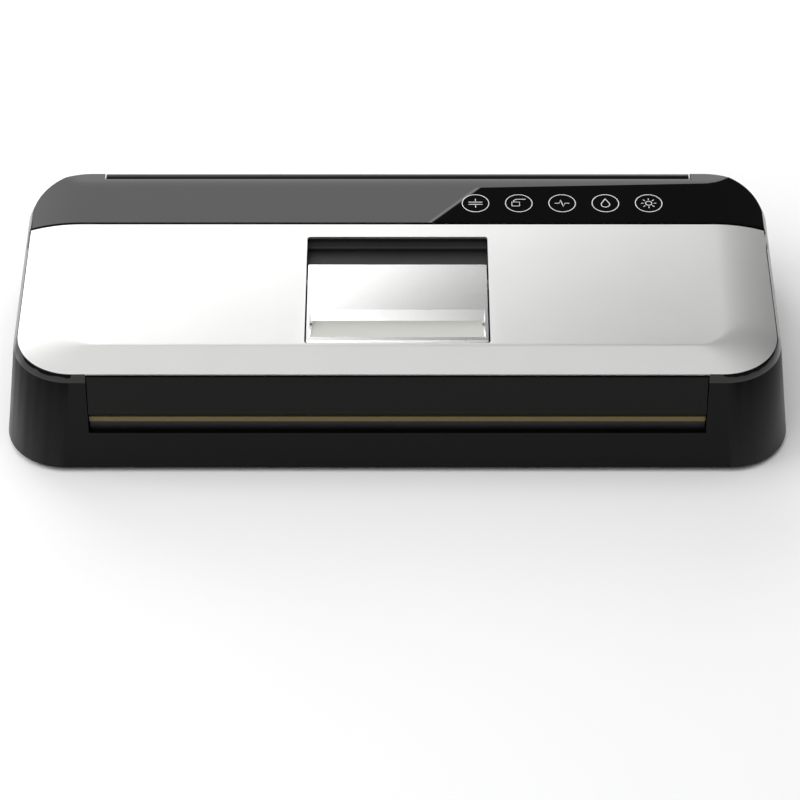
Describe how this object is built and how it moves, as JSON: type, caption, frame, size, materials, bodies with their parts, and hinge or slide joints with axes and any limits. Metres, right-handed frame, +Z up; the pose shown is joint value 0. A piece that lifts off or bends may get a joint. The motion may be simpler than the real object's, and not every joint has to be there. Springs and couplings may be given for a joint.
{
  "type": "vacuum packing machine",
  "caption": "Table-top vacuum packing machine: black drafted base, hinged lid with steel cover, touch-key panel, recessed chrome locking handle and a bag slot across the front.",
  "frame": {"origin": "on the table, under the middle of the machine", "axes": "+X to the right as the user stands in front of the bag slot, +Y to the back, +Z up"},
  "size_m": [0.392, 0.166, 0.0632],
  "materials": {
    "housing_black": "satin, drafted moulding",
    "rim_black": "high gloss",
    "panel_black": "mirror gloss",
    "cover_steel": "fine satin",
    "chrome": "polished",
    "deck_black": "matt",
    "front_black": "satin",
    "trough_grey": "matt",
    "foot_rubber": "matt",
    "gasket_foam": "closed-cell foam",
    "silicone_red": "silicone",
    "bar_resin": "heat-proof resin",
    "heater_alloy": "nickel-chrome strip",
    "tape_brown": "coated glass cloth",
    "zinc_steel": "zinc plated",
    "switch_black": "matt",
    "switch_button": "satin",
    "brass": "plain",
    "pump_plastic": "glass-filled nylon",
    "motor_steel": "zinc plated",
    "hose_silicone": "clear silicone",
    "filter_clear": "natural",
    "core_iron": "varnished laminations",
    "coil_yellow": "taped winding",
    "board_green": "solder resist",
    "part_black": "moulded",
    "grip_grey": "satin"
  },
  "bodies": {
    "base": {"base_housing": "housing_black", "bottom_plate": "deck_black", "feet": "foot_rubber", "bottom_screws": "zinc_steel", "inner_deck": "deck_black", "vacuum_trough": "trough_grey", "lower_gasket": "gasket_foam", "sealing_bar": "bar_resin", "heating_strip": "heater_alloy", "heatproof_tape": "tape_brown", "hinge_pins": "zinc_steel", "lock_keepers": "zinc_steel", "keeper_rivets": "zinc_steel", "lid_switches": "switch_black", "mains_inlet": "part_black", "inlet_pins": "brass", "hose_port": "part_black", "vacuum_pump": "pump_plastic", "pump_motor": "motor_steel", "motor_cradle": "foot_rubber", "pump_mounts": "foot_rubber", "release_valve": "pump_plastic", "moisture_filter": "filter_clear", "pump_hose": "hose_silicone", "port_hose": "hose_silicone", "transformer_core": "core_iron", "transformer_coil": "coil_yellow", "power_board": "board_green", "board_parts": "part_black", "power_screws": "zinc_steel"},
    "lid": {"lid_frame": "rim_black", "lid_cover": "cover_steel", "control_panel": "panel_black", "front_panel": "front_black", "chamber_cover": "deck_black", "upper_gasket": "gasket_foam", "pressure_strip": "silicone_red", "lid_screws": "zinc_steel", "handle_well": "deck_black", "shaft_clamps": "deck_black", "clamp_screws": "zinc_steel", "shaft_springs": "zinc_steel", "touch_board": "board_green", "touch_pads": "switch_black", "board_screws": "zinc_steel"},
    "latch": {"handle": "chrome", "handle_grip": "grip_grey", "lock_shaft": "zinc_steel", "lock_hooks": "zinc_steel", "shaft_pins": "zinc_steel", "shaft_clips": "zinc_steel"},
    "button_left": {"switch_button_left": "switch_button"},
    "button_right": {"switch_button_right": "switch_button"},
    "crank": {"pump_crank": "zinc_steel"},
    "plunger": {"valve_plunger": "zinc_steel"}
  },
  "joints": [
    {"name": "lid_hinge", "type": "hinge", "parent": "base", "child": "lid", "pos_m": [0, 0.0723, 0.058], "axis": [-1, 0, 0], "range_deg": [0, 70]},
    {"name": "handle_pivot", "type": "hinge", "parent": "lid", "child": "latch", "pos_m": [0, -0.0055, 0.056], "axis": [-1, 0, 0], "range_deg": [-5, 40], "stiffness_Nm_per_rad": 0.8, "springref_deg": 2.86},
    {"name": "left_switch_button", "type": "slide", "parent": "base", "child": "button_left", "axis": [0, 0, -1], "range_m": [0, 0.001], "stiffness_N_per_m": 300, "springref_m": -0.0005},
    {"name": "right_switch_button", "type": "slide", "parent": "base", "child": "button_right", "axis": [0, 0, -1], "range_m": [0, 0.001], "stiffness_N_per_m": 300, "springref_m": -0.0005},
    {"name": "pump_crank_spin", "type": "hinge", "parent": "base", "child": "crank", "pos_m": [0.05, 0.044, 0.025], "axis": [1, 0, 0], "continuous": true},
    {"name": "valve_plunger_slide", "type": "slide", "parent": "base", "child": "plunger", "axis": [0, 0, 1], "range_m": [0, 0.003], "stiffness_N_per_m": 200, "springref_m": -0.001}
  ]
}
